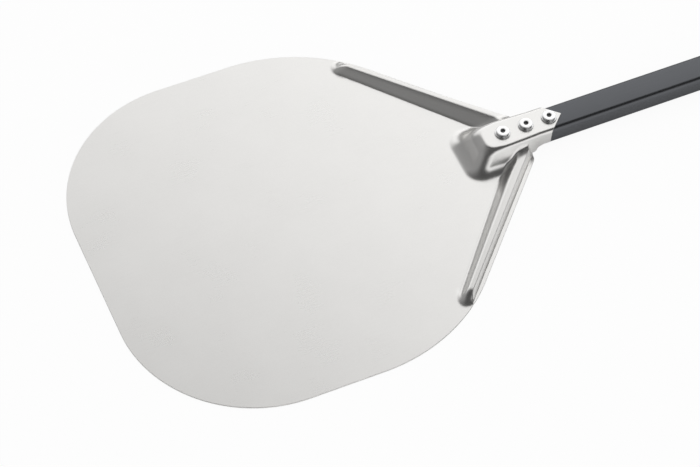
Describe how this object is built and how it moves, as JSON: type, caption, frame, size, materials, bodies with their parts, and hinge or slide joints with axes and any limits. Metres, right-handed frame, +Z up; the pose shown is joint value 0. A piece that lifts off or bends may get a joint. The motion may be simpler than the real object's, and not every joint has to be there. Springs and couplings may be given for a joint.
{
  "type": "pizza peel",
  "caption": "Flat aluminium pizza peel: a rounded pressed blade with a ribbed neck, riveted over a long flat-sided tube handle that ends in a cap with a hanging hole.",
  "frame": {"origin": "middle of the blade's flat underside, on the centreline, 165 mm behind the front edge", "axes": "+X along the handle away from the blade, +Y to the side, +Z up off the blade's upper face"},
  "size_m": [1.0035, 0.33, 0.0212],
  "materials": {
    "blade_aluminium": "satin anodised, fine grain",
    "tube_anodised": "dark grey anodised, satin",
    "rivet_aluminium": "bright turned",
    "washer_steel": "bright",
    "mandrel_steel": "dull, snapped end",
    "cap_polymer": "fine moulded grain"
  },
  "bodies": {
    "root": {"blade": "blade_aluminium", "handle_tube": "tube_anodised", "end_cap": "cap_polymer", "cap_rivet_body": "rivet_aluminium", "cap_rivet_mandrel": "mandrel_steel", "front_rivet_body": "rivet_aluminium", "front_rivet_mandrel": "mandrel_steel", "front_rivet_washer": "washer_steel", "middle_rivet_body": "rivet_aluminium", "middle_rivet_mandrel": "mandrel_steel", "middle_rivet_washer": "washer_steel", "rear_rivet_body": "rivet_aluminium", "rear_rivet_mandrel": "mandrel_steel", "rear_rivet_washer": "washer_steel"}
  },
  "joints": []
}
